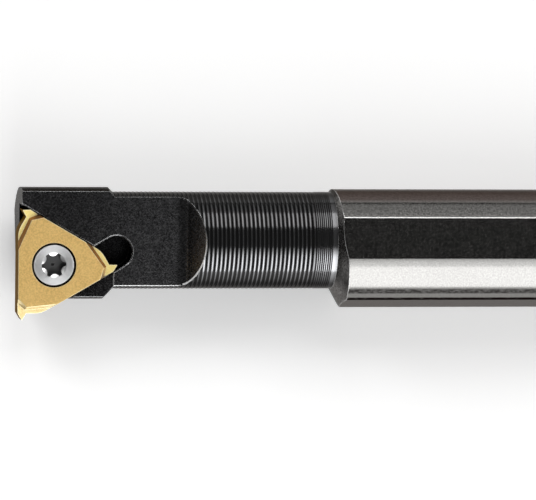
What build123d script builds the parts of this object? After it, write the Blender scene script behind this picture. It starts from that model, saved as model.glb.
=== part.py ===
from build123d import *
import os
from math import cos, radians, sin, sqrt, tan

# Right-hand internal threading boring bar with a clamped three-corner insert.
# Frame: origin at the centre of the rear end face on the shank axis, +X along the bar
# toward the head, +Y toward the working tip, +Z up on the side that the insert faces.
# All sizes are in millimetres and degrees.

# Shank
OVERALL_LENGTH = 150.0
SHANK_DIAMETER = 16.0
SHANK_FLAT_DEPTH = 0.5
REAR_CHAMFER = 1.0

# Neck, turned off-centre, away from the tip
NECK_DIAMETER = 13.0
NECK_OFFSET = 1.15
NECK_LENGTH = 29.6
NECK_SETBACK = 12.3
SHANK_SHOULDER_ANGLE = 60.0
HEAD_SHOULDER_ANGLE = 45.0
FEED_PITCH = 0.57
FEED_NOSE_RADIUS = 0.8
PLAIN_END_LENGTH = 2.0

# Head
HEAD_DIAMETER = 14.9
HEAD_OFFSET = 0.78
FRONT_BEVEL_DROP = 5.0
FRONT_BEVEL_ANGLE = 30.0

# Inclined milled face with its run-out ramp
INCLINE_ANGLE = 15.0
FACE_HEIGHT = 2.28
RAMP_SETBACK = 21.6
RAMP_ANGLE = 56.0
RAMP_FILLET = 1.8

# Insert: three corners, each with a 60 degree tooth on a lowered land
TIP_REACH = 9.65
INSERT_CIRCLE = 9.525
INSERT_THICKNESS = 3.5
INSERT_OVERHANG = 0.48
CORNER_COUNT = 3
TOOTH_ANGLE = 60.0
TOOTH_REACH = 7.3
TOOTH_HEIGHT = 0.87
TOOTH_TIP_WIDTH = 0.08
CREST_ROUNDING = 0.4
LAND_DROP = 0.1
LAND_WALL_ANGLE = 25.0
LAND_BEVEL_REACH = 4.6
LAND_CORNER_REACH = 5.6
LAND_CORNER_INSET = 1.1
LAND_SIDE_ANGLE = 5.0

# Pocket
WALL_GAP = 0.03
POCKET_RIM = 0.15
RELIEF_DIAMETER = 4.2
RELIEF_SHIFT = 0.15
RELIEF_EXTRA_DEPTH = 0.3
WALL_FACET_ANGLE = 6.0
WALL_FACET_INSET = 2.2

# Clamping screw, six-lobe recess
THREAD_DIAMETER = 3.5
THREAD_GAP = 0.02
SCREW_LENGTH = 9.0
SCREW_HEAD_DIAMETER = 5.4
SCREW_HEAD_SINK = 0.1
SCREW_EDGE = 0.1
SCREW_TIP_CHAMFER = 0.4
SEAT_DIAMETER = 5.9
SEAT_ANGLE = 60.0
SEAT_GAP = 0.02
INSERT_BORE = 4.3
RECESS_ACROSS_LOBES = 3.3
RECESS_ACROSS_VALLEYS = 2.36
RECESS_LOBES = 6
RECESS_VALLEY_RADIUS = 0.66
RECESS_LOBE_RADIUS = 0.12
RECESS_TURN = 4.0
RECESS_DEPTH = 1.5
RECESS_LEAD_DEPTH = 0.25
DIMPLE_DIAMETER = 0.45

# Worked out from the above
shank_radius = SHANK_DIAMETER / 2
neck_radius = NECK_DIAMETER / 2
head_radius = HEAD_DIAMETER / 2
flat_height = shank_radius - SHANK_FLAT_DEPTH
reach = SHANK_DIAMETER
neck_front = OVERALL_LENGTH - NECK_SETBACK
neck_back = neck_front - NECK_LENGTH
incline_sin = sin(radians(INCLINE_ANGLE))
incline_cos = cos(radians(INCLINE_ANGLE))
insert_inradius = INSERT_CIRCLE / 2
wall_distance = insert_inradius + WALL_GAP
half_tooth_angle = radians(TOOTH_ANGLE / 2)


def along_incline(setback, across, height):
    """Point given by its distance behind the front face, across and above the incline."""
    y = across * incline_cos + height * incline_sin
    z = height * incline_cos - across * incline_sin
    return (OVERALL_LENGTH - setback, y, z)


# Planes on the incline. The insert's own plane has x toward the shank and y away from the
# tip, so its working corner lies at negative x and negative y.
toward_tip = (0, incline_cos, -incline_sin)
incline_up = (0, incline_sin, incline_cos)
incline_side = Plane(origin=(OVERALL_LENGTH, 0, 0), x_dir=(-1, 0, 0), z_dir=toward_tip)
incline_end = Plane(origin=(OVERALL_LENGTH, 0, 0), x_dir=toward_tip, z_dir=(1, 0, 0))
insert_setback = insert_inradius - INSERT_OVERHANG
insert_across = TIP_REACH * incline_cos - TOOTH_REACH
insert_height = TIP_REACH * incline_sin + LAND_DROP
insert_top = Plane(
    origin=along_incline(insert_setback, insert_across, insert_height),
    x_dir=(-1, 0, 0),
    z_dir=incline_up,
)
insert_floor = insert_top.offset(-INSERT_THICKNESS)
bar_face = insert_top.offset(FACE_HEIGHT - insert_height)


def turned(plane, angle):
    """The same plane, turned about its own normal."""
    x_dir = plane.x_dir.rotate(Axis((0, 0, 0), plane.z_dir), angle)
    return Plane(origin=plane.origin, x_dir=x_dir, z_dir=plane.z_dir)


def turned_envelope():
    """Outline of the neck and its two shoulders, from the neck axis outward."""
    depth_of_shoulder = reach - neck_radius
    shank_shoulder = neck_back - depth_of_shoulder / tan(radians(SHANK_SHOULDER_ANGLE))
    head_shoulder = neck_front + depth_of_shoulder / tan(radians(HEAD_SHOULDER_ANGLE))
    ring_count = int((NECK_LENGTH - PLAIN_END_LENGTH) / FEED_PITCH)
    ring_depth = FEED_NOSE_RADIUS - sqrt(FEED_NOSE_RADIUS**2 - (FEED_PITCH / 2) ** 2)
    first_ring = neck_front - ring_count * FEED_PITCH
    with BuildSketch(mode=Mode.PRIVATE) as envelope:
        with BuildLine():
            Polyline(
                (first_ring, neck_radius),
                (neck_back, neck_radius),
                (shank_shoulder, reach),
                (-reach, reach),
                (-reach, 0),
                (OVERALL_LENGTH + reach, 0),
                (OVERALL_LENGTH + reach, reach),
                (head_shoulder, reach),
                (neck_front, neck_radius),
            )
            for ring in range(ring_count):
                start = first_ring + ring * FEED_PITCH
                Polyline(
                    (start, neck_radius),
                    (start + FEED_PITCH / 2, neck_radius - ring_depth),
                    (start + FEED_PITCH, neck_radius),
                )
        make_face()
    return envelope.sketch


def relief_slot():
    """Slot along the lower wall, rounded at the notch's inner corner."""
    relief_radius = RELIEF_DIAMETER / 2
    slot_run = INSERT_CIRCLE / 2
    wall_run = RELIEF_SHIFT + slot_run / 2
    centre_x = 2 * wall_distance - wall_run * sqrt(3) / 2 - relief_radius / 2
    centre_y = relief_radius * sqrt(3) / 2 - wall_run / 2
    with BuildSketch(mode=Mode.PRIVATE) as slot:
        with Locations((centre_x, centre_y)):
            SlotCenterToCenter(slot_run, RELIEF_DIAMETER, rotation=30)
    return slot.sketch


def pocket_outline():
    """Sixty degree notch for the insert, open to the front, with its corner relief."""
    apex = 2 * wall_distance
    spread = (apex + reach) / sqrt(3)
    with BuildSketch(mode=Mode.PRIVATE) as notch:
        with BuildLine():
            Polyline((apex, 0), (-reach, spread), (-reach, -spread), close=True)
        make_face()
        add(relief_slot())
    return notch.sketch


# Bar: shank, neck and head turned and milled from one piece of steel
with BuildPart() as bar:
    with BuildSketch(Plane.YZ):
        Circle(shank_radius)
    extrude(amount=neck_back + NECK_LENGTH / 2)
    chamfer(bar.faces().sort_by(Axis.X)[0].edges(), REAR_CHAMFER)

    with BuildSketch(Plane.YZ.offset(neck_back + NECK_LENGTH / 2)):
        with Locations((-HEAD_OFFSET, 0)):
            Circle(head_radius)
    extrude(amount=NECK_LENGTH / 2 + NECK_SETBACK)

    with BuildSketch(Plane.XZ.offset(NECK_OFFSET)):
        add(turned_envelope())
    revolve(axis=Axis((0, -NECK_OFFSET, 0), (1, 0, 0)), mode=Mode.INTERSECT)

    # Three flats on the shank: top, back and tip side
    with BuildSketch(Plane.YZ):
        with Locations((0, flat_height), (0, -flat_height - reach)):
            Rectangle(2 * reach, reach, align=(Align.CENTER, Align.MIN))
        with Locations((flat_height, 0)):
            Rectangle(reach, 2 * reach, align=(Align.MIN, Align.CENTER))
    extrude(amount=neck_back, mode=Mode.SUBTRACT)

    # Inclined face over the head and half the neck, with a ramp where the cutter ran out
    with BuildSketch(incline_side) as face_profile:
        with BuildLine():
            Polyline(
                (-reach, FACE_HEIGHT),
                (RAMP_SETBACK, FACE_HEIGHT),
                (RAMP_SETBACK + reach / tan(radians(RAMP_ANGLE)), FACE_HEIGHT + reach),
                (-reach, FACE_HEIGHT + reach),
                close=True,
            )
        make_face()
        ramp_root = face_profile.vertices().group_by(Axis.Y)[0].sort_by(Axis.X)[-1]
        fillet(ramp_root, RAMP_FILLET)
    extrude(amount=reach, both=True, mode=Mode.SUBTRACT)

    # Pocket with a broken rim, its corner relief and the tapped hole
    with BuildSketch(bar_face):
        add(pocket_outline())
        offset(amount=POCKET_RIM, kind=Kind.INTERSECTION)
    extrude(amount=-POCKET_RIM, taper=45, mode=Mode.SUBTRACT)
    with BuildSketch(insert_floor):
        add(pocket_outline())
    extrude(amount=reach, mode=Mode.SUBTRACT)
    with BuildSketch(insert_floor.offset(-RELIEF_EXTRA_DEPTH)):
        add(relief_slot())
    extrude(amount=RELIEF_EXTRA_DEPTH, mode=Mode.SUBTRACT)
    with BuildSketch(insert_floor):
        Circle(THREAD_DIAMETER / 2 + THREAD_GAP)
    extrude(amount=-reach, mode=Mode.SUBTRACT)

    # Top of the lower locating wall, dropped toward the insert
    facet_outer = sqrt(head_radius**2 - FACE_HEIGHT**2) - HEAD_OFFSET
    facet_fall = (facet_outer - WALL_FACET_INSET) * tan(radians(WALL_FACET_ANGLE))
    with BuildSketch(incline_end.offset(-NECK_SETBACK)):
        with BuildLine():
            Polyline(
                (facet_outer, FACE_HEIGHT),
                (WALL_FACET_INSET, FACE_HEIGHT - facet_fall),
                (WALL_FACET_INSET, FACE_HEIGHT + reach),
                (facet_outer + reach, FACE_HEIGHT + reach),
                (facet_outer + reach, FACE_HEIGHT),
                close=True,
            )
        make_face()
    extrude(amount=NECK_SETBACK, mode=Mode.SUBTRACT)

    # Bevel under the front face
    with BuildSketch(Plane.XZ):
        with BuildLine():
            Polyline(
                (OVERALL_LENGTH, -FRONT_BEVEL_DROP),
                (OVERALL_LENGTH, -FRONT_BEVEL_DROP - reach),
                (
                    OVERALL_LENGTH - reach * tan(radians(FRONT_BEVEL_ANGLE)),
                    -FRONT_BEVEL_DROP - reach,
                ),
                close=True,
            )
        make_face()
    extrude(amount=reach, both=True, mode=Mode.SUBTRACT)


def corner_points():
    """Working corner of the insert, from its front side round to its crest."""
    left = -insert_inradius
    root = TOOTH_REACH - TOOTH_HEIGHT
    half_width = TOOTH_HEIGHT * tan(half_tooth_angle)
    half_tip = TOOTH_TIP_WIDTH / 2
    tip = left + half_width + half_tip
    crest_end = (2 * insert_inradius) - root * sqrt(3)
    return [
        Vector(left, -root),
        Vector(tip - half_tip, -TOOTH_REACH),
        Vector(tip + half_tip, -TOOTH_REACH),
        Vector(tip + half_tip + half_width, -root),
        Vector(crest_end, -root),
    ]


# Insert: pressed and ground carbide, coated
with BuildPart() as threading_insert:
    with BuildSketch(insert_floor) as insert_outline:
        with BuildLine():
            outline = [
                point.rotate(Axis.Z, turn * 360 / CORNER_COUNT)
                for turn in range(CORNER_COUNT)
                for point in corner_points()
            ]
            Polyline(*outline, close=True)
        make_face()
        crest_start, crest_end = corner_points()[-2:]
        crest_turn = radians(180 / CORNER_COUNT / 2)
        crest_radius = CREST_ROUNDING * (crest_end - crest_start).length / tan(crest_turn / 2)
        crest_ends = insert_outline.vertices().sort_by_distance((0, 0, 0))[:CORNER_COUNT]
        fillet(crest_ends, crest_radius)
    extrude(amount=INSERT_THICKNESS)

    # Lowered lands, each level with the bar's own top when its corner is the working one
    land_shift = LAND_DROP * incline_sin
    bevel_start = (TOOTH_REACH - LAND_BEVEL_REACH) * incline_cos - land_shift
    bevel_end = (TOOTH_REACH - LAND_CORNER_REACH) * incline_cos - land_shift
    bevel_slope = (bevel_start - bevel_end) / LAND_CORNER_INSET
    side_rise = reach * tan(radians(LAND_SIDE_ANGLE))
    land_fall = (TOOTH_REACH - LAND_CORNER_REACH) * incline_sin + LAND_DROP * incline_cos
    land_wall_run = land_fall * tan(radians(LAND_WALL_ANGLE))
    for turn in range(CORNER_COUNT):
        corner = turned(insert_top, turn * 360 / CORNER_COUNT)
        land = Plane(
            origin=corner.from_local_coords((-insert_inradius, -TOOTH_REACH, -LAND_DROP)),
            x_dir=corner.x_dir,
            z_dir=corner.z_dir * incline_cos + corner.y_dir * incline_sin,
        )
        with BuildSketch(land):
            with BuildLine():
                Polyline(
                    (-INSERT_CIRCLE, bevel_start + INSERT_CIRCLE * bevel_slope),
                    (LAND_CORNER_INSET, bevel_end),
                    (LAND_CORNER_INSET + reach, bevel_end + side_rise),
                    (LAND_CORNER_INSET + reach, -reach),
                    (-INSERT_CIRCLE, -reach),
                    close=True,
                )
            make_face()
            offset(amount=-land_wall_run, kind=Kind.INTERSECTION)
        extrude(amount=INSERT_THICKNESS, taper=-LAND_WALL_ANGLE, mode=Mode.SUBTRACT)

    with Locations(insert_top):
        CounterSinkHole(INSERT_BORE / 2, SEAT_DIAMETER / 2, counter_sink_angle=SEAT_ANGLE)

# Clamping screw: flat-topped cone head, six-lobe recess
half_seat_tan = tan(radians(SEAT_ANGLE / 2))
screw_head_radius = SCREW_HEAD_DIAMETER / 2
screw_shank_radius = THREAD_DIAMETER / 2
seat_sink = (SEAT_DIAMETER / 2 - screw_head_radius - SEAT_GAP) / half_seat_tan
cone_end = seat_sink + (screw_head_radius - screw_shank_radius) / half_seat_tan
screw_axis_plane = Plane(
    origin=insert_top.origin, x_dir=insert_top.x_dir, z_dir=-insert_top.y_dir
)
screw_top = insert_top.offset(-SCREW_HEAD_SINK)

with BuildPart() as insert_screw:
    with BuildSketch(screw_axis_plane):
        with BuildLine():
            Polyline(
                (0, -SCREW_HEAD_SINK),
                (screw_head_radius - SCREW_EDGE, -SCREW_HEAD_SINK),
                (screw_head_radius, -SCREW_HEAD_SINK - SCREW_EDGE),
                (screw_head_radius, -seat_sink),
                (screw_shank_radius, -cone_end),
                (screw_shank_radius, -SCREW_LENGTH + SCREW_TIP_CHAMFER),
                (screw_shank_radius - SCREW_TIP_CHAMFER, -SCREW_LENGTH),
                (0, -SCREW_LENGTH),
                close=True,
            )
        make_face()
    revolve(axis=Axis(insert_top.origin, insert_top.z_dir))

    with BuildSketch(turned(screw_top, RECESS_TURN)) as recess:
        Circle(RECESS_ACROSS_LOBES / 2)
        valley_ring = RECESS_ACROSS_VALLEYS / 2 + RECESS_VALLEY_RADIUS
        with PolarLocations(valley_ring, RECESS_LOBES, start_angle=180 / RECESS_LOBES):
            Circle(RECESS_VALLEY_RADIUS, mode=Mode.SUBTRACT)
        fillet(recess.vertices(), RECESS_LOBE_RADIUS)
    extrude(amount=-RECESS_DEPTH, mode=Mode.SUBTRACT)

    lead_end = RECESS_ACROSS_VALLEYS / 2
    with BuildSketch(screw_axis_plane):
        with BuildLine():
            Polyline(
                (0, -SCREW_HEAD_SINK),
                (RECESS_ACROSS_LOBES / 2, -SCREW_HEAD_SINK),
                (lead_end, -SCREW_HEAD_SINK - RECESS_LEAD_DEPTH),
                (0, -SCREW_HEAD_SINK - RECESS_LEAD_DEPTH),
                close=True,
            )
        make_face()
        recess_floor = -SCREW_HEAD_SINK - RECESS_DEPTH
        with BuildLine():
            Polyline(
                (0, recess_floor),
                (DIMPLE_DIAMETER / 2, recess_floor),
                (0, recess_floor - DIMPLE_DIAMETER / 2),
                close=True,
            )
        make_face()
    revolve(axis=Axis(insert_top.origin, insert_top.z_dir), mode=Mode.SUBTRACT)

bar.part.label = "bar"
threading_insert.part.label = "threading_insert"
insert_screw.part.label = "insert_screw"

os.makedirs("parts", exist_ok=True)
export_step(bar.part, "parts/bar.step")
export_step(threading_insert.part, "parts/threading_insert.step")
export_step(insert_screw.part, "parts/insert_screw.step")
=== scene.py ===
from math import cos, pi, radians, sin, tan

import bpy
from mathutils import Matrix, Vector


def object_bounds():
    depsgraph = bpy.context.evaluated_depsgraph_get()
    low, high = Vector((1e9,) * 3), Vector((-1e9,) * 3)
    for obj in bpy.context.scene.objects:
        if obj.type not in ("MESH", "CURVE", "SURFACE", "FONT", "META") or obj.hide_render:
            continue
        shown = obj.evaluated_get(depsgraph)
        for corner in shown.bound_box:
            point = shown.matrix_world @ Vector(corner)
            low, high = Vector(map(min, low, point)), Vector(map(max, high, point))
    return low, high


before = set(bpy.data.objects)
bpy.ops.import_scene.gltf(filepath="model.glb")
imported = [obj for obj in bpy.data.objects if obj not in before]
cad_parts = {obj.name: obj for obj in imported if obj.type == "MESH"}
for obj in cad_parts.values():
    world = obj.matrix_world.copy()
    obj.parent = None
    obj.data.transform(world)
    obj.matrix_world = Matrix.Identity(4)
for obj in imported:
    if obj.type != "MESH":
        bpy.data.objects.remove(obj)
cad_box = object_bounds()

# The object's frame: +X along the bar toward the head, +Y toward the working tip, +Z up
MM = 0.001


def rgb(red, green, blue):
    return (red, green, blue, 1.0)


# Floor: level with the flat under the shank, the lowest part
FLOOR_Z = cad_box[0][2]
FLOOR_REACH = 2.0
FLOOR_COLOUR = rgb(0.90, 0.895, 0.89)
FLOOR_ROUGHNESS = 0.9
FLOOR_SPECULAR = 0.1
FLOOR_GLOW_COLOUR = rgb(1.0, 1.0, 1.0)
FLOOR_GLOW = 0.3

# Bar: the neck is turned about an axis of its own, off the shank's and away from the tip
NECK_BACK = 108.1 * MM
NECK_FRONT = 137.7 * MM
NECK_RADIUS = 6.5 * MM
NECK_SHIFT = 1.15 * MM
SHOULDER_SLOPE = tan(radians(60.0))
RAMP_BACK = 115.0 * MM
POCKET_BACK = 130.0 * MM
BAR_EDGE_RADIUS = 0.17 * MM
LEVEL_COSINE = 0.9
TURNED_COSINE = 0.85

# Feed rings on the neck: coarse ones, then finer ones, then a plain band next to the shank
RING_DEPTH = 0.06 * MM
RING_PITCH = 0.57 * MM
RING_WANDER = 0.12 * RING_PITCH
RING_SLOPE = 0.36
FINE_RING_PITCH = 0.27 * MM
FINE_RINGS_FRONT = 111.0 * MM
PLAIN_BAND_FRONT = 108.8 * MM

# Noise: how many features a metre holds, in all directions or along, across and up
GRAIN_SCALE = 4600.0
GRINDING_SCALES = (9000.0, 220.0, 220.0)
STAIN_SCALE = 260.0
REFLECTION_LINE_SCALES = (1800.0, 3000.0, 3000.0)
MOTTLE_SCALE = 1500.0
PATCH_SCALE = 420.0
RING_WANDER_SCALE = 700.0
RING_DEPTH_SCALE = 2600.0
RING_WEAR_SCALE = 1400.0
GOLD_GRAIN_SCALE = 4200.0
GOLD_CLOUD_SCALE = 500.0
SCREW_GRAIN_SCALE = 5000.0

# Ground steel: two painted dark reflection lines along its side, each a height, a half width and a
# strength
GROUND = (rgb(0.232, 0.228, 0.219), rgb(0.205, 0.2, 0.193))
# Painted highlight along the edges of the ground steel
GROUND_RIM_HIGHLIGHT = rgb(0.8, 0.79, 0.78)
# Painted reflections: dark brown on the back, and on the flat toward the tip
PAINTED_BACK_REFLECTION = rgb(0.09, 0.074, 0.069)
PAINTED_TIP_SIDE_REFLECTION = rgb(0.15, 0.128, 0.12)
# Painted reflection: the colour of the two dark lines along the tip's side
DARK_REFLECTION_LINE = rgb(0.008, 0.006, 0.006)
PAINTED_REFLECTION_LINES = ((4.43 * MM, 0.48 * MM, 0.85), (2.90 * MM, 0.48 * MM, 1.4))
STEEL_TINT = rgb(0.43, 0.42, 0.41)
STEEL_BUMP = 0.004 * MM
GROUND_ROUGHNESS = (0.09, 0.14)
GRAIN_ROUGHNESS = 0.06

# Black oxide: pairs of colours are its darkest and palest, or away from and toward the tip
OXIDE = (rgb(0.05, 0.05, 0.052), rgb(0.17, 0.168, 0.172))
OXIDE_OVERLAP = 0.02 * MM
CONE = (rgb(0.11, 0.107, 0.104), rgb(0.45, 0.44, 0.43))
# Painted light: the cone's side toward the tip is far paler
CONE_PAINTED_LIT_SIDE = (rgb(0.4, 0.37, 0.36), rgb(1.0, 0.97, 0.95))
# Painted shade: ring crests are darker on the side away from the tip
RING_CREST = (rgb(0.19, 0.19, 0.194), rgb(0.36, 0.36, 0.37))
RING_VALLEY = rgb(0.03, 0.03, 0.03)
OXIDE_ROUGHNESS = (0.22, 0.3)
RING_ROUGHNESS = 0.16
OXIDE_METAL = (1.0, 0.93)
RING_METAL = 0.83
FACE_FADE = (133.0 * MM, 142.0 * MM)
FACE_TONES = (1.08, 0.68)
POCKET_INSET = 0.3 * MM
POCKET_DEPTHS = (-0.45 * MM, -1.6 * MM)
# Painted shade, darkest deep in the pocket
POCKET_PAINTED_SHADE = 0.68
POCKET_SHADE_REACH = 1.2 * MM

# Painted edge highlights, pale like rubbed oxide: pairs of places across the bar, between which
# their strength changes
# Painted highlight: a pale, less metallic colour along edges and lines
EDGE_HIGHLIGHT_PAINT = rgb(0.95, 0.95, 0.95)
EDGE_HIGHLIGHT_METAL_LOSS = 0.75
HIGHLIGHT_ACROSS = (-5.0 * MM, 1.0 * MM)
HEAD_HIGHLIGHT_ACROSS = (-6.2 * MM, -5.4 * MM)
HEAD_UNLIT_ACROSS = (5.4 * MM, 6.2 * MM)
CREST_LINE_ACROSS = (-1.0 * MM, 2.0 * MM)
CREST_LINE_WIDTH = 0.24 * MM
FACE_LINE_ACROSS = 3.5 * MM
FACE_LINE_WIDTH = 0.13 * MM

# Insert and screw: their shared axis, from a point level with the insert's top
INCLINE = radians(15.0)
SCREW_AXIS = Vector((0.0, sin(INCLINE), cos(INCLINE)))
INSERT_TOP = Vector((145.72, 2.62, 1.99)) * MM

# Insert: pairs of colours are the coating's darkest and palest
GOLD_TOP = (rgb(0.74, 0.48, 0.16), rgb(0.94, 0.63, 0.235))
GOLD_CLOUD = rgb(0.98, 0.68, 0.255)
# Painted highlight: the lands' paler colour
GOLD_LAND_HIGHLIGHT = (rgb(0.92, 0.72, 0.26), rgb(1.0, 0.84, 0.33))
GOLD_TIP_LAND = (rgb(0.56, 0.43, 0.19), rgb(0.76, 0.60, 0.29))
# Painted highlight along the insert's edges
GOLD_EDGE_HIGHLIGHT = rgb(1.0, 0.90, 0.60)
# Painted light and shade on the walls: dark brown facing away from the tip, pale facing it
SHADED_WALL = rgb(0.40, 0.20, 0.07)
LIT_WALL = rgb(1.0, 0.84, 0.48)
GOLD_TINT = rgb(0.5, 0.38, 0.25)
SATIN_ROUGHNESS = 0.42
POLISHED_ROUGHNESS = 0.25
GOLD_BUMP = 0.010 * MM
GOLD_EDGE_RADIUS = 0.2 * MM
GOLD_SHADE_REACH = 0.8 * MM
LAND_HEIGHT = -0.06 * MM
TIP_LAND_ACROSS = (4.0 * MM, 7.0 * MM)
TIP_LAND_METAL = 0.3
HOLLOW_ACROSS = (3.0 * MM, 7.0 * MM)
HOLLOW_SLOPES = (0.06, 0.56)
SEAT_RADIUS = 2.97 * MM
# Painted shade in the screw's seat, between the insert and the screw's head
SEAT_SHADE = rgb(0.03, 0.018, 0.01)

# Screw: rings turned about its axis, a paler rim as a painted highlight, and painted shade in a
# recess that darkens between two heights
SCREW_STEEL = (rgb(0.9, 0.9, 0.9), rgb(1.0, 0.99, 0.98))
SCREW_ROUGHNESS = 0.36
SCREW_BUMP = 0.005 * MM
SCREW_EDGE_RADIUS = 0.06 * MM
SCREW_RIM = (2.48 * MM, 2.58 * MM)
# Painted highlight: the rim is less metallic, so it shows pale
SCREW_RIM_METAL = 0.35
RECESS_RADIUS = 1.66 * MM
RECESS_HEIGHTS = (-0.2 * MM, -0.6 * MM)
TURNING_PITCH = 0.12 * MM
TURNING_SLOPE = 0.22

# Camera: seen from above, turned a little toward the tip and toward the head
IMAGE_WIDTH = 536
CAMERA_DISTANCE = 0.650
CAMERA_TURN = radians(9.8)
CAMERA_TILT = radians(10.6)
MM_PER_PIXEL = 0.1340
AIM = Vector((116.55 * MM, 0.2 * MM, 0.0))
SENSOR_WIDTH = 36.0
CLIP_START = 0.01

# Lamps: a name, the angles that it is turned from +Z toward +Y and toward +X in degrees, its
# width and height as radians seen from the bar, its radiance and its colour
BAR_MIDDLE = Vector((110.0 * MM, 0.0, 0.0))
LAMP_DISTANCE = 0.75
WHITE = (1.0, 1.0, 1.0)
COOL_WHITE = (0.98, 0.99, 1.0)
LAMPS = (
    ("key_panel", 69.0, -9.0, 0.60, 0.84, 1.4, COOL_WHITE),
    ("key_middle", 65.0, -9.0, 0.60, 1.00, 1.2, COOL_WHITE),
    ("key_rim", 61.0, -9.0, 0.60, 1.15, 1.6, COOL_WHITE),
    ("fill_panel", -39.0, -9.0, 0.60, 0.66, 2.4, WHITE),
    ("low_fill", -72.0, -9.0, 0.60, 0.46, 0.5, WHITE),
    ("side_lamp", 5.0, -70.0, 0.45, 0.60, 6.0, WHITE),
    ("back_lamp", -48.0, 38.0, 0.40, 0.40, 6.5, WHITE),
)
WORLD_COLOUR = rgb(0.05, 0.05, 0.05)


def view_axes():
    """Camera right, up and back, for a bar that lies level in the picture."""
    back = Vector(
        (
            sin(CAMERA_TURN),
            cos(CAMERA_TURN) * sin(CAMERA_TILT),
            cos(CAMERA_TURN) * cos(CAMERA_TILT),
        )
    )
    level_up = Vector((0.0, -cos(CAMERA_TILT), sin(CAMERA_TILT)))
    right = level_up.cross(back).normalized()
    return right, back.cross(right), back


def stand(thing, centre, right, up, back):
    """Link a lamp or camera into the scene at a place, looking along minus back."""
    bpy.context.scene.collection.objects.link(thing)
    turn = Matrix((right, up, back)).transposed().to_4x4()
    thing.matrix_world = Matrix.Translation(centre) @ turn


def add_camera():
    right, up, back = view_axes()
    data = bpy.data.cameras.new("camera")
    data.sensor_width = SENSOR_WIDTH
    data.lens = SENSOR_WIDTH * CAMERA_DISTANCE / (MM_PER_PIXEL * MM * IMAGE_WIDTH)
    data.clip_start = CLIP_START
    camera = bpy.data.objects.new("camera", data)
    stand(camera, AIM + CAMERA_DISTANCE * back, right, up, back)
    bpy.context.scene.camera = camera


def add_panel(name, toward_tip, toward_head, width, height, radiance, colour):
    """Softbox that faces the bar from a distance."""
    tip_turn = radians(toward_tip)
    head_turn = radians(toward_head)
    upright = Vector((0.0, sin(tip_turn), cos(tip_turn)))
    forward = Vector((1.0, 0.0, 0.0))
    away = sin(head_turn) * forward + cos(head_turn) * upright
    side = cos(head_turn) * forward - sin(head_turn) * upright
    data = bpy.data.lights.new(name, "AREA")
    data.shape = "RECTANGLE"
    data.size = width * LAMP_DISTANCE
    data.size_y = height * LAMP_DISTANCE
    data.energy = radiance * data.size * data.size_y * pi
    data.color = colour
    lamp = bpy.data.objects.new(name, data)
    stand(lamp, BAR_MIDDLE + LAMP_DISTANCE * away, side, away.cross(side), away)


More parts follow.
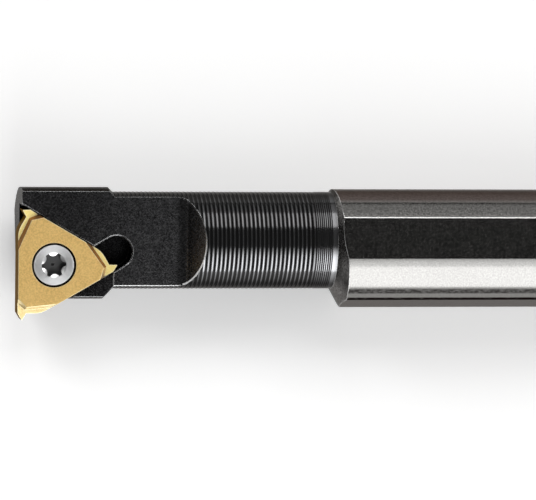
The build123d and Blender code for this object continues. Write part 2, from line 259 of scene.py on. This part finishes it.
class Tree:
    """A material's node tree, with short calls for the nodes used here.

    A mask is 1 inside and 0 outside. The parts of a normal run from -1 to 1, and noise lies
    mostly between 0.3 and 0.7.
    """

    def __init__(self, name):
        self.material = bpy.data.materials.new(name)
        self.material.use_nodes = True
        self.tree = self.material.node_tree
        self.tree.nodes.clear()
        self.shader = self.node("ShaderNodeBsdfPrincipled")
        output = self.node("ShaderNodeOutputMaterial")
        self.tree.links.new(self.shader.outputs["BSDF"], output.inputs["Surface"])

    def node(self, kind, **settings):
        made = self.tree.nodes.new(kind)
        for name, value in settings.items():
            setattr(made, name, value)
        return made

    def put(self, value, socket):
        """Link an output, or set a plain value, on an input socket."""
        if isinstance(value, bpy.types.NodeSocket):
            self.tree.links.new(value, socket)
        else:
            socket.default_value = value

    def shade(self, **values):
        """Set the shader's inputs: base_color, metallic, roughness and so on."""
        for name, value in values.items():
            title = name.replace("_", " ").title().replace("Ior", "IOR")
            self.put(value, self.shader.inputs[title])

    def math(self, operation, *values):
        made = self.node("ShaderNodeMath", operation=operation)
        for value, socket in zip(values, made.inputs):
            self.put(value, socket)
        return made.outputs[0]

    def product(self, first, *others):
        for value in others:
            first = self.math("MULTIPLY", first, value)
        return first

    def above(self, value, limit):
        """1 where the value is over the limit, and 0 elsewhere."""
        return self.math("GREATER_THAN", value, limit)

    def below(self, value, limit):
        return self.math("LESS_THAN", value, limit)

    def outside(self, mask):
        return self.math("SUBTRACT", 1.0, mask)

    def ramp(self, value, low, high, low_value=0.0, high_value=1.0):
        """Low value to high value, and level beyond, as the value goes from low to high."""
        made = self.node("ShaderNodeMapRange")
        for entry, name in (
            (value, "Value"),
            (low, "From Min"),
            (high, "From Max"),
            (low_value, "To Min"),
            (high_value, "To Max"),
        ):
            self.put(entry, made.inputs[name])
        return made.outputs["Result"]

    def blend(self, factor, first, second):
        """The first number where the factor is 0, the second where it is 1."""
        return self.ramp(factor, 0.0, 1.0, first, second)

    def mix(self, factor, first, second):
        """The first colour where the factor is 0, the second where it is 1."""
        made = self.node("ShaderNodeMix", data_type="RGBA")
        self.put(factor, made.inputs["Factor"])
        self.put(first, made.inputs["A"])
        self.put(second, made.inputs["B"])
        return made.outputs["Result"]

    def choose(self, factor, first, second):
        """The first vector where the factor is 0, the second where it is 1."""
        made = self.node("ShaderNodeMix", data_type="VECTOR")
        self.put(factor, made.inputs["Factor"])
        self.put(first, made.inputs[4])
        self.put(second, made.inputs[5])
        return made.outputs[1]

    def dimmed(self, colour, shade):
        made = self.node("ShaderNodeMix", data_type="RGBA", blend_type="MULTIPLY")
        made.inputs["Factor"].default_value = 1.0
        self.put(colour, made.inputs["A"])
        self.put(shade, made.inputs["B"])
        return made.outputs["Result"]

    def vector(self, x, y, z):
        made = self.node("ShaderNodeCombineXYZ")
        for value, socket in zip((x, y, z), made.inputs):
            self.put(value, socket)
        return made.outputs[0]

    def vector_math(self, operation, *values):
        made = self.node("ShaderNodeVectorMath", operation=operation)
        for value, socket in zip(values, made.inputs):
            self.put(value, socket)
        return made.outputs["Value" if operation in ("LENGTH", "DOT_PRODUCT") else "Vector"]

    def scaled(self, vector, factor):
        made = self.node("ShaderNodeVectorMath", operation="SCALE")
        self.put(vector, made.inputs[0])
        self.put(factor, made.inputs["Scale"])
        return made.outputs[0]

    def part(self, vector, axis):
        made = self.node("ShaderNodeSeparateXYZ")
        self.put(vector, made.inputs[0])
        return made.outputs[axis]

    def own_place(self):
        """The point in the object's own frame."""
        return self.node("ShaderNodeTexCoord").outputs["Object"]

    def own_normal(self):
        """The surface's normal in the object's own frame."""
        return self.node("ShaderNodeTexCoord").outputs["Normal"]

    def to_world(self, normal):
        made = self.node("ShaderNodeVectorTransform", vector_type="NORMAL")
        made.convert_from = "OBJECT"
        made.convert_to = "WORLD"
        self.put(normal, made.inputs[0])
        return made.outputs[0]

    def noise(self, vector, scale, detail=2.0):
        made = self.node("ShaderNodeTexNoise")
        self.put(vector, made.inputs["Vector"])
        made.inputs["Scale"].default_value = scale
        made.inputs["Detail"].default_value = detail
        return made.outputs["Fac"]

    def long_noise(self, vector, scales):
        """Noise with its own scale in each direction, for lines and brushed marks."""
        return self.noise(self.vector_math("MULTIPLY", vector, scales), 1.0, 3.0)

    def rounded_edges(self, radius):
        """The world normal, as if each edge were rounded."""
        made = self.node("ShaderNodeBevel", samples=6)
        made.inputs["Radius"].default_value = radius
        return made.outputs["Normal"]

    def edge_mask(self, rounded, low, high):
        """1 where the rounded normal leaves the surface's own, at edges."""
        own = self.node("ShaderNodeNewGeometry").outputs["Normal"]
        likeness = self.vector_math("DOT_PRODUCT", rounded, own)
        return self.ramp(likeness, high, low)

    def openness(self, reach):
        """1 in the open, toward 0 in narrow corners and holes."""
        made = self.node("ShaderNodeAmbientOcclusion", samples=8)
        made.inputs["Distance"].default_value = reach
        return made.outputs["AO"]

    def bump(self, height, distance, normal):
        made = self.node("ShaderNodeBump")
        made.inputs["Distance"].default_value = distance
        self.put(height, made.inputs["Height"])
        self.put(normal, made.inputs["Normal"])
        return made.outputs["Normal"]

    def over_insert(self, place):
        """Height over the insert's top, along the screw's axis."""
        from_top = self.vector_math("SUBTRACT", place, INSERT_TOP)
        return self.vector_math("DOT_PRODUCT", from_top, SCREW_AXIS)

    def out_from_screw(self, place):
        """The vector out from the screw's axis, square to it."""
        from_top = self.vector_math("SUBTRACT", place, INSERT_TOP)
        lift = self.scaled(SCREW_AXIS, self.over_insert(place))
        return self.vector_math("SUBTRACT", from_top, lift)


class BarSteel(Tree):
    """Ground bright steel on the shank, black oxide on the neck and head."""

    def __init__(self):
        super().__init__("bar_steel")
        self.own = self.own_place()
        self.along, self.across, self.up = [self.part(self.own, axis) for axis in "XYZ"]
        self.normal = self.own_normal()
        normal_parts = [self.part(self.normal, axis) for axis in "XYZ"]
        self.forward, self.toward_tip, self.upward = normal_parts
        from_neck_axis = self.vector(0.0, self.math("ADD", self.across, NECK_SHIFT), self.up)
        self.radius = self.vector_math("LENGTH", from_neck_axis)
        self.radial = self.vector_math("NORMALIZE", from_neck_axis)
        self.rounded = self.rounded_edges(BAR_EDGE_RADIUS)
        self.grain = self.ramp(self.noise(self.own, GRAIN_SCALE), 0.32, 0.68)
        self.grinding = self.long_noise(self.own, GRINDING_SCALES)
        self.patches = self.noise(self.own, PATCH_SCALE)
        self.find_zones()
        self.finish()

    def finish(self):
        """Lay the two finishes side by side, with painted shade in the pocket and corners, painted
        edge highlights, and rings on the neck.
        """
        # Painted highlights: pale edges and lines laid over the oxide
        edge_highlights = self.edge_highlights()
        oxide = self.mix(edge_highlights, self.oxide(), EDGE_HIGHLIGHT_PAINT)
        # Painted shade: darker in corners and holes, and deep in the pocket
        open_to_light = self.ramp(self.openness(POCKET_SHADE_REACH), 0.2, 0.9, 0.25, 1.0)
        shade = self.product(open_to_light, self.outside(self.sunk()))
        oxide_metal = self.blend(self.on_rings, self.blend(self.grain, *OXIDE_METAL), RING_METAL)
        metal = self.blend(self.black, 1.0, oxide_metal)
        relief = self.math("ADD", self.grinding, self.product(self.grain, self.black))
        fine_bump = self.bump(relief, STEEL_BUMP, self.rounded)
        self.shade(
            base_color=self.dimmed(self.mix(self.black, self.ground(), oxide), shade),
            metallic=self.math("SUBTRACT", metal, self.product(edge_highlights, EDGE_HIGHLIGHT_METAL_LOSS)),
            specular_tint=STEEL_TINT,
            roughness=self.blend(self.black, self.ground_roughness(), self.oxide_roughness()),
            normal=self.choose(self.on_rings, fine_bump, self.ring_normal()),
        )

    def find_zones(self):
        """Masks for the black part, its cone behind the neck, the head, and the neck's rings."""
        cone_run = self.math("SUBTRACT", self.radius, NECK_RADIUS)
        cone_place = self.math("ADD", self.along, self.math("DIVIDE", cone_run, SHOULDER_SLOPE))
        self.black = self.above(cone_place, NECK_BACK - OXIDE_OVERLAP)
        past_cone = self.above(self.along, NECK_BACK)
        self.on_cone = self.math("SUBTRACT", self.black, past_cone)
        self.on_head = self.above(self.along, NECK_FRONT)
        turned = self.vector_math("DOT_PRODUCT", self.radial, self.normal)
        self.on_rings = self.product(
            past_cone,
            self.below(self.along, NECK_FRONT),
            self.above(turned, TURNED_COSINE),
            self.above(self.radius, NECK_RADIUS - 2.0 * RING_DEPTH),
        )
        self.level = self.above(self.upward, LEVEL_COSINE)
        self.ring_place = self.find_ring_place()

    def ring_noise(self, scale):
        """Noise that changes along the bar only, so that each ring is even all round."""
        return self.noise(self.vector(self.along, 0.0, 0.0), scale)

    def find_ring_place(self):
        """-0.5 to 0.5 over each ring, toward the shank, and 0 on the plain band."""
        wander = self.product(self.ring_noise(RING_WANDER_SCALE), RING_WANDER)
        fine = self.below(self.along, FINE_RINGS_FRONT)
        from_front = self.math("ADD", self.math("SUBTRACT", NECK_FRONT, self.along), wander)
        turns = self.math("DIVIDE", from_front, self.blend(fine, RING_PITCH, FINE_RING_PITCH))
        place = self.math("SUBTRACT", self.math("FRACT", turns), 0.5)
        return self.product(place, self.above(self.along, PLAIN_BAND_FRONT))

    def ring_normal(self):
        """Each ring is a low round ridge, and some are lower than others."""
        depth = self.ramp(self.ring_noise(RING_DEPTH_SCALE), 0.3, 0.7, 0.75, 1.0)
        slope = self.product(self.ring_place, depth, -2.0 * RING_SLOPE)
        tilted = self.vector_math("ADD", self.radial, self.vector(slope, 0.0, 0.0))
        return self.to_world(self.vector_math("NORMALIZE", tilted))

    def ground(self):
        """Grain, painted dark reflections on the back and the tip's side, two painted dark
        reflection lines along the tip's side, and painted edge highlights.
        """
        colour = self.mix(self.noise(self.own, STAIN_SCALE, 4.0), *GROUND)
        # Painted reflection: the back and the flat toward the tip are dark brown, as if reflecting
        # dark surroundings
        colour = self.mix(self.ramp(self.toward_tip, -0.6, -0.7), colour, PAINTED_BACK_REFLECTION)
        colour = self.mix(self.ramp(self.toward_tip, 0.95, 0.96), colour, PAINTED_TIP_SIDE_REFLECTION)
        # Painted reflections: two dark lines along the tip's side, broken up by noise
        reflection_line_mask = self.product(
            self.ramp(self.long_noise(self.own, REFLECTION_LINE_SCALES), 0.3, 0.6, 0.5, 1.0),
            self.above(self.across, 0.0),
            self.below(self.math("ABSOLUTE", self.forward), 0.3),
        )
        for height, half_width, strength in PAINTED_REFLECTION_LINES:
            off_line = self.math("ABSOLUTE", self.math("SUBTRACT", self.up, height))
            line = self.ramp(off_line, half_width, 0.5 * half_width, 0.0, strength)
            colour = self.mix(self.product(line, reflection_line_mask), colour, DARK_REFLECTION_LINE)
        darkest = self.ramp(self.toward_tip, 0.2, 0.35, 0.66, 0.9)
        palest = self.ramp(self.toward_tip, 0.2, 0.35, 1.32, 1.08)
        colour = self.dimmed(colour, self.blend(self.grain, darkest, palest))
        # Painted highlight: pale lines along the edges, except on the side toward the tip
        rim = self.edge_mask(self.rounded, 0.988, 0.997)
        rim = self.product(rim, self.ramp(self.toward_tip, 0.85, 0.8))
        return self.mix(rim, colour, GROUND_RIM_HIGHLIGHT)

    def ground_roughness(self):
        brushed = self.ramp(self.grinding, 0.3, 0.7, *GROUND_ROUGHNESS)
        return self.math("ADD", brushed, self.product(self.grain, GRAIN_ROUGHNESS))

    def oxide(self):
        """Mottled black, paler on the cone and painted light on its side toward the tip, burnished
        along each ring, with crests painted darker away from the tip as shade.
        """
        mottle = self.product(self.ramp(self.noise(self.own, MOTTLE_SCALE, 3.0), 0.35, 0.65), 0.4)
        mottle = self.math("ADD", mottle, self.product(self.grain, 0.6))
        cone = self.mix(mottle, *CONE)
        # Painted light: the cone's side toward the tip is far paler
        lit_side = self.mix(mottle, *CONE_PAINTED_LIT_SIDE)
        cone = self.mix(self.ramp(self.toward_tip, 0.4, 0.65), cone, lit_side)
        colour = self.mix(self.on_cone, self.mix(mottle, *OXIDE), cone)
        # Painted shade: the crests are darker on the side away from the tip
        crest = self.mix(self.ramp(self.toward_tip, 0.38, 0.62), *RING_CREST)
        wear = self.ramp(self.ring_noise(RING_WEAR_SCALE), 0.35, 0.65, 0.5, 1.2)
        crest = self.dimmed(crest, wear)
        off_crest = self.math("ABSOLUTE", self.product(self.ring_place, 2.0))
        burnished = self.mix(self.ramp(off_crest, 0.0, 0.45), crest, RING_VALLEY)
        colour = self.mix(self.on_rings, colour, burnished)
        on_face = self.product(self.level, self.outside(self.on_rings))
        face_tone = self.ramp(self.along, *FACE_FADE, *FACE_TONES)
        colour = self.dimmed(colour, self.blend(on_face, 1.0, face_tone))
        # Painted shade down the sides; the cone's side toward the tip is left out of it as painted
        # light
        cone_lit_side = self.product(self.on_cone, self.ramp(self.toward_tip, 0.35, 0.6))
        return self.dimmed(colour, self.math("MAXIMUM", self.oxide_painted_side_shade(), cone_lit_side))

    def oxide_painted_side_shade(self):
        """Painted shade: the oxide is darker down its sides, most on the back, and on the head's
        front end.
        """
        low = self.blend(self.on_head, 0.3, 0.45)
        return self.product(
            self.ramp(self.upward, low, self.math("ADD", low, 0.3), 0.22, 1.0),
            self.ramp(self.toward_tip, -0.8, -0.4, 0.35, 1.0),
            self.ramp(self.product(self.on_head, self.forward), 0.3, 0.7, 1.0, 0.25),
        )

    def oxide_roughness(self):
        plain = self.blend(self.grain, *OXIDE_ROUGHNESS)
        return self.blend(self.on_rings, plain, RING_ROUGHNESS)

    def edge_highlights(self):
        """Painted highlights, pale like worn-off oxide: edges, the ramp's crest and the milled
        face's lower edge.
        """
        highlit = self.ramp(self.across, *HIGHLIGHT_ACROSS, 0.2, 1.0)
        head_highlight = self.ramp(self.across, *HEAD_HIGHLIGHT_ACROSS, 0.3, 1.0)
        highlit = self.math("MAXIMUM", highlit, self.product(self.on_head, head_highlight))
        head_unlit = self.product(self.on_head, self.ramp(self.across, *HEAD_UNLIT_ACROSS, 0.0, 0.6))
        highlit = self.math("SUBTRACT", highlit, head_unlit)
        edges = self.product(
            self.edge_mask(self.rounded, 0.89, 0.98),
            self.ramp(self.patches, 0.28, 0.45),
            highlit,
            self.outside(self.on_rings),
        )
        off_head = self.product(self.outside(self.on_head), self.above(self.along, RAMP_BACK))
        crest_line = self.product(
            off_head,
            self.above(self.forward, 0.5),
            self.above(self.radius, NECK_RADIUS - CREST_LINE_WIDTH),
            self.ramp(self.across, *CREST_LINE_ACROSS, 0.1, 1.0),
        )
        face_line = self.product(
            off_head,
            self.level,
            self.above(self.radius, NECK_RADIUS - FACE_LINE_WIDTH),
            self.above(self.across, FACE_LINE_ACROSS),
            self.ramp(self.patches, 0.25, 0.5, 0.5, 1.0),
        )
        lines = self.math("MAXIMUM", crest_line, face_line)
        return self.product(self.math("MAXIMUM", edges, lines), self.black)

    def sunk(self):
        """How deep in the insert's pocket the surface lies, for painted shade there."""
        return self.product(
            self.above(self.along, POCKET_BACK),
            self.below(self.radius, NECK_RADIUS - POCKET_INSET),
            self.ramp(self.over_insert(self.own), *POCKET_DEPTHS, 0.0, POCKET_PAINTED_SHADE),
        )


def gold_material():
    """Gold-coloured coating: satin top, ground lands painted paler as a highlight, painted light
    and shade on the walls, painted edge highlights, painted shade in the screw's seat, on the
    flanks and in corners.
    """
    gold = Tree("gold_coating")
    own = gold.own_place()
    across = gold.part(own, "Y")
    normal = gold.own_normal()
    toward_tip = gold.part(normal, "Y")
    facing = gold.vector_math("DOT_PRODUCT", normal, SCREW_AXIS)
    height = gold.over_insert(own)
    from_screw = gold.vector_math("LENGTH", gold.out_from_screw(own))
    rounded = gold.rounded_edges(GOLD_EDGE_RADIUS)
    grain = gold.ramp(gold.noise(own, GOLD_GRAIN_SCALE, 3.0), 0.35, 0.65)

    on_flat = gold.ramp(facing, 0.75, 0.9)
    on_wall = gold.product(gold.ramp(facing, 0.85, 0.75), gold.ramp(facing, 0.3, 0.42))
    on_flank = gold.ramp(facing, 0.3, 0.1)
    on_land = gold.product(gold.below(height, LAND_HEIGHT), on_flat)
    on_tip_land = gold.product(on_land, gold.ramp(across, *TIP_LAND_ACROSS))
    on_edge = gold.product(gold.edge_mask(rounded, 0.92, 0.985), on_flat)
    in_seat = gold.below(from_screw, SEAT_RADIUS)

    cloud = gold.ramp(gold.noise(own, GOLD_CLOUD_SCALE), 0.4, 0.7, 0.0, 0.35)
    colour = gold.mix(cloud, gold.mix(grain, *GOLD_TOP), GOLD_CLOUD)
    # Painted light and shade: walls dark brown facing away from the tip, pale facing it
    wall = gold.mix(gold.ramp(toward_tip, 0.1, 0.7), SHADED_WALL, LIT_WALL)
    colour = gold.mix(on_wall, colour, wall)
    # Painted highlight: the lands are paler
    colour = gold.mix(on_land, colour, gold.mix(grain, *GOLD_LAND_HIGHLIGHT))
    colour = gold.mix(on_tip_land, colour, gold.mix(grain, *GOLD_TIP_LAND))
    # Painted highlight: pale lines along the edges
    colour = gold.mix(on_edge, colour, GOLD_EDGE_HIGHLIGHT)
    # Painted shade in the screw's seat
    colour = gold.mix(in_seat, colour, SEAT_SHADE)
    # Painted shade: darker in corners, and much darker on the flanks, as if reflecting dark
    # surroundings
    open_to_light = gold.ramp(gold.openness(GOLD_SHADE_REACH), 0.3, 0.8, 0.25, 1.0)
    shade = gold.product(open_to_light, gold.blend(on_flank, 1.0, 0.16))

    # Each ground land is slightly hollow, and the one at the working tip turns most toward it
    hollow = gold.vector(0.0, gold.ramp(across, *HOLLOW_ACROSS, *HOLLOW_SLOPES), 0.0)
    turned = gold.vector_math("NORMALIZE", gold.vector_math("ADD", normal, hollow))
    bright = gold.blend(gold.math("MAXIMUM", on_edge, on_land), 1.0, 0.2)
    metal = gold.product(gold.ramp(facing, 0.85, 0.1, 0.45, 1.0), bright)
    metal = gold.math("MAXIMUM", metal, gold.product(on_tip_land, TIP_LAND_METAL))
    polished = gold.math("MAXIMUM", on_wall, on_tip_land)
    gold.shade(
        base_color=gold.dimmed(colour, shade),
        metallic=gold.math("MAXIMUM", metal, in_seat),
        specular_tint=GOLD_TINT,
        roughness=gold.blend(polished, SATIN_ROUGHNESS, POLISHED_ROUGHNESS),
        normal=gold.choose(on_land, gold.bump(grain, GOLD_BUMP, rounded), gold.to_world(turned)),
    )
    return gold.material


def screw_material():
    """Turned steel head with fine rings about its axis, with painted shade in the recess and a
    paler rim as a painted highlight.
    """
    screw = Tree("screw_steel")
    own = screw.own_place()
    outward = screw.out_from_screw(own)
    radius = screw.vector_math("LENGTH", outward)
    grain = screw.noise(own, SCREW_GRAIN_SCALE, 3.0)
    turns = screw.math("DIVIDE", radius, TURNING_PITCH)
    place = screw.math("SUBTRACT", screw.math("FRACT", turns), 0.5)
    on_face = screw.above(radius, RECESS_RADIUS)
    slope = screw.product(place, on_face, 2.0 * TURNING_SLOPE)
    sideways = screw.scaled(screw.vector_math("NORMALIZE", outward), slope)
    rounded = screw.rounded_edges(SCREW_EDGE_RADIUS)
    turned = screw.vector_math("NORMALIZE", screw.vector_math("ADD", rounded, sideways))
    # Painted shade: the recess darkens with depth
    shade = screw.ramp(screw.over_insert(own), *RECESS_HEIGHTS, 1.0, 0.2)
    screw.shade(
        base_color=screw.dimmed(screw.mix(grain, *SCREW_STEEL), shade),
        # Painted highlight: a less metallic, paler rim
        metallic=screw.ramp(radius, *SCREW_RIM, 1.0, SCREW_RIM_METAL),
        roughness=SCREW_ROUGHNESS,
        normal=screw.bump(grain, SCREW_BUMP, turned),
    )
    return screw.material


def floor_material():
    """Pale floor with a small glow that the camera, gloss and glass see."""
    floor = Tree("pale_floor")
    path = floor.node("ShaderNodeLightPath")
    seen = floor.math("ADD", path.outputs["Is Camera Ray"], path.outputs["Is Glossy Ray"])
    seen = floor.math("ADD", seen, path.outputs["Is Transmission Ray"])
    floor.shade(
        base_color=FLOOR_COLOUR,
        roughness=FLOOR_ROUGHNESS,
        specular_ior_level=FLOOR_SPECULAR,
        emission_color=FLOOR_GLOW_COLOUR,
        emission_strength=floor.product(floor.math("MINIMUM", seen, 1.0), FLOOR_GLOW),
    )
    return floor.material


def add_floor():
    mesh = bpy.data.meshes.new("floor")
    corners = [(-1, -1), (1, -1), (1, 1), (-1, 1)]
    points = [(x * FLOOR_REACH, y * FLOOR_REACH, FLOOR_Z) for x, y in corners]
    mesh.from_pydata(points, [], [(0, 1, 2, 3)])
    mesh.materials.append(floor_material())
    floor = bpy.data.objects.new("floor", mesh)
    bpy.context.scene.collection.objects.link(floor)


def dress(node, material):
    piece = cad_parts[node]
    piece.data.materials.clear()
    piece.data.materials.append(material)


def light_world():
    world = bpy.data.worlds.new("studio")
    world.use_nodes = True
    world.node_tree.nodes["Background"].inputs["Color"].default_value = WORLD_COLOUR
    bpy.context.scene.world = world


dress("bar", BarSteel().material)
dress("threading_insert", gold_material())
dress("insert_screw", screw_material())
add_floor()
add_camera()
for lamp in LAMPS:
    add_panel(*lamp)
light_world()
bpy.context.scene.view_settings.view_transform = "Standard"
